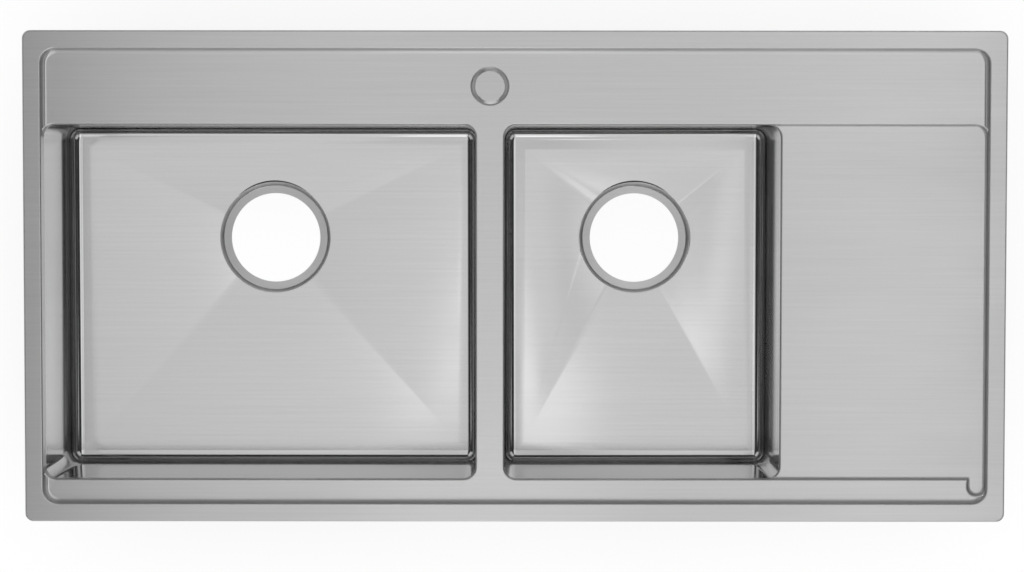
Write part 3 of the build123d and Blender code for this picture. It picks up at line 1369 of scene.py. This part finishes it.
@dataclass(frozen=True)
class LowWall:
    """A low pale wall all round the sink."""

    radius: float = 6.0
    low: float = 0.3
    high: float = 2.3
    level: float = 0.35
    steps: int = 48

    def build(self) -> None:
        """Builds the wall, which the camera doesn't see."""
        bm = bmesh.new()
        angles = [2 * math.pi * step / self.steps for step in range(self.steps)]
        spots = [(self.radius * math.cos(angle), self.radius * math.sin(angle)) for angle in angles]
        rings = [[bm.verts.new((x, y, height)) for x, y in spots] for height in (self.low, self.high)]
        bridge(bm, *rings)
        material, bench = new_material("low_wall")
        bench.show(bench.glow((self.level, self.level, self.level, 1.0)))
        wall = staged("low_wall", bm, material)
        wall.visible_camera = False
        wall.visible_shadow = False


@dataclass(frozen=True)
class FloorLamp:
    """A broad lamp that lights the floor alone, so that the sink's shadow lies on it."""

    strength: float = 2.4
    spread: float = math.radians(75)

    def build(self, floor: bpy.types.Object) -> None:
        """Hangs the lamp straight above the floor.

        Args:
            floor: The floor that it lights.
        """
        data = bpy.data.lights.new("floor_lamp", "SUN")
        data.energy = self.strength
        data.angle = self.spread
        lamp = bpy.data.objects.new("floor_lamp", data)
        bpy.context.scene.collection.objects.link(lamp)
        lit = bpy.data.collections.new("lit_by_floor_lamp")
        lit.objects.link(floor)
        lamp.light_linking.receiver_collection = lit


@dataclass(frozen=True)
class Lens:
    """The photograph's camera: straight above, a little behind the middle."""

    place: Point = (-0.0028, 0.0847, 2.3745)
    turn_degrees: Point = (-2.269, 0.006, 0.044)
    focal: float = 81.95
    sensor: float = 36.0

    def build(self) -> None:
        """Builds the camera and makes it the scene's own."""
        data = bpy.data.cameras.new("camera")
        data.lens = self.focal
        data.sensor_width = self.sensor
        camera = bpy.data.objects.new("camera", data)
        bpy.context.scene.collection.objects.link(camera)
        camera.location = self.place
        camera.rotation_euler = Euler([math.radians(angle) for angle in self.turn_degrees])
        bpy.context.scene.camera = camera


# How bright the overhead light is, from its left side at 0 to its right side at 1: panels with darker gaps.
OVERHEAD_LEVELS = (
    (0.0, 0.15),
    (0.04, 0.45),
    (0.10, 0.58),
    (0.16, 0.88),
    (0.22, 0.88),
    (0.30, 0.93),
    (0.37, 0.96),
    (0.392, 0.74),
    (0.425, 0.72),
    (0.445, 0.96),
    (0.475, 0.96),
    (0.488, 0.64),
    (0.54, 0.68),
    (0.556, 0.94),
    (0.60, 0.88),
    (0.635, 1.04),
    (0.68, 0.70),
    (0.73, 1.10),
    (0.85, 1.16),
    (0.97, 1.08),
    (1.0, 0.25),
)


@dataclass
class Studio:
    """The pale floor, the soft lights and the dim room round them."""

    floor_radius: float = 30.0
    floor_sides: int = 64
    floor_white: float = 0.8
    floor_colour: Colour = (0.86, 0.86, 0.86)
    room_level: float = 0.035
    lights: tuple[SoftCard, ...] = (
        OverheadLight("overhead_light", middle=(0.1, -0.65, 8.0), size=(5.6, 14.7), levels=OVERHEAD_LEVELS),
        OverheadLight("front_strip", middle=(-0.0375, -1.1, 1.2), size=(0.335, 0.9), levels=even(1.6)),
        SoftCard("front_panel", middle=(0.0, -8.5, 5.0), size=(6.0, 6.0), levels=even(0.95)),
        OverheadLight("left_patch", middle=(-0.54, -0.35, 7.9), size=(0.26, 0.75), levels=even(1.5)),
        OverheadLight("right_patch", middle=(0.26, -0.35, 7.9), size=(0.26, 0.75), levels=even(1.25)),
        OverheadLight("near_patch", middle=(0.14, -0.262, 2.3), size=(0.11, 0.26), levels=even(1.5)),
    )
    corner_level: float = 0.65
    corner_distance: float = 6.0
    corner_bearing: float = math.radians(37)
    corner_height: float = 3.8
    corner_size: Flat = (5.8, 4.4)

    def build(self) -> None:
        """Builds the floor, the lights and the room."""
        FloorLamp().build(self._floor())
        for card in (*self.lights, *self.corner_lights()):
            card.build()
            log.info("set %s", card.name)
        LowWall().build()
        self._room()
        bpy.context.scene.view_settings.view_transform = "Standard"

    def corner_lights(self) -> list[SoftCard]:
        """A light towards each corner of the sink.

        Returns:
            The four lights.
        """
        cards = []
        reach_x = self.corner_distance * math.cos(self.corner_bearing)
        reach_y = self.corner_distance * math.sin(self.corner_bearing)
        for x, y in ((1, 1), (-1, 1), (-1, -1), (1, -1)):
            name = f"corner_light_{'right' if x > 0 else 'left'}_{'rear' if y > 0 else 'front'}"
            middle = (x * reach_x, y * reach_y, self.corner_height)
            cards.append(SoftCard(name, middle, self.corner_size, even(self.corner_level)))
        return cards

    def _floor(self) -> bpy.types.Object:
        """Lays a round floor that the drain seats stand on.

        Returns:
            The floor.
        """
        bm = bmesh.new()
        bmesh.ops.create_circle(bm, cap_ends=True, radius=self.floor_radius, segments=self.floor_sides)
        floor = staged("floor", bm, self._floor_finish())
        floor.location.z = cad_box[0].z
        return floor

    def _floor_finish(self) -> bpy.types.Material:
        """White to the eye and in reflections, pale to the light that falls on it, clear from below.

        Returns:
            The material.
        """
        material, bench = new_material("floor")
        ray = bench.add("ShaderNodeLightPath").outputs
        seen = bench.maths("MAXIMUM", ray["Is Camera Ray"], ray["Is Glossy Ray"])
        seen = bench.maths("MAXIMUM", seen, ray["Is Transmission Ray"])
        pale = bench.add("ShaderNodeBsdfDiffuse", {"Color": (*self.floor_colour, 1.0)}).outputs[0]
        white = bench.glow((1.0, 1.0, 1.0, 1.0))
        share = bench.maths("MULTIPLY", seen, self.floor_white)
        top = bench.add("ShaderNodeMixShader", {0: share, 1: pale, 2: white}).outputs[0]
        clear = bench.add("ShaderNodeBsdfTransparent").outputs[0]
        below = bench.add("ShaderNodeNewGeometry").outputs["Backfacing"]
        bench.show(bench.add("ShaderNodeMixShader", {0: below, 1: top, 2: clear}).outputs[0])
        return material

    def _room(self) -> None:
        """Fills the room with a dim even light."""
        world = bpy.data.worlds.new("room")
        bpy.context.scene.world = world
        world.use_nodes = True
        bench = NodeBench(world.node_tree)
        colour = (self.room_level, self.room_level, self.room_level, 1.0)
        dim = bench.add("ShaderNodeBackground", {"Color": colour, "Strength": 1.0}).outputs[0]
        bench.add("ShaderNodeOutputWorld", {"Surface": dim})


def main() -> None:
    """Builds the sink's looks and its studio."""
    logging.basicConfig(level=logging.INFO, format="%(name)s: %(message)s")
    shading = SheetShading()
    finishes = {"deck": DECK_STEEL}
    finishes.update({f"{side}_bowl": bowl_steel(side) for side in ("left", "right")})
    steel = SteelBody(finishes, shading)
    steel.dress()
    weld = WELD_BEAD.material()
    for bowl in ("left_bowl", "right_bowl"):
        steel.weld(bowl, weld)
    TapHoleBlank(BLANK_STEEL, shading).dress()
    RimSeal(FOAM).dress()
    SoundPads(RUBBER).dress()
    Stiffeners(CHANNEL_STEEL, SPOT_WELD).dress()
    ClipSet(CLIP_STEEL).dress()
    Studio().build()
    Lens().build()


if __name__ == "__main__":
    main()
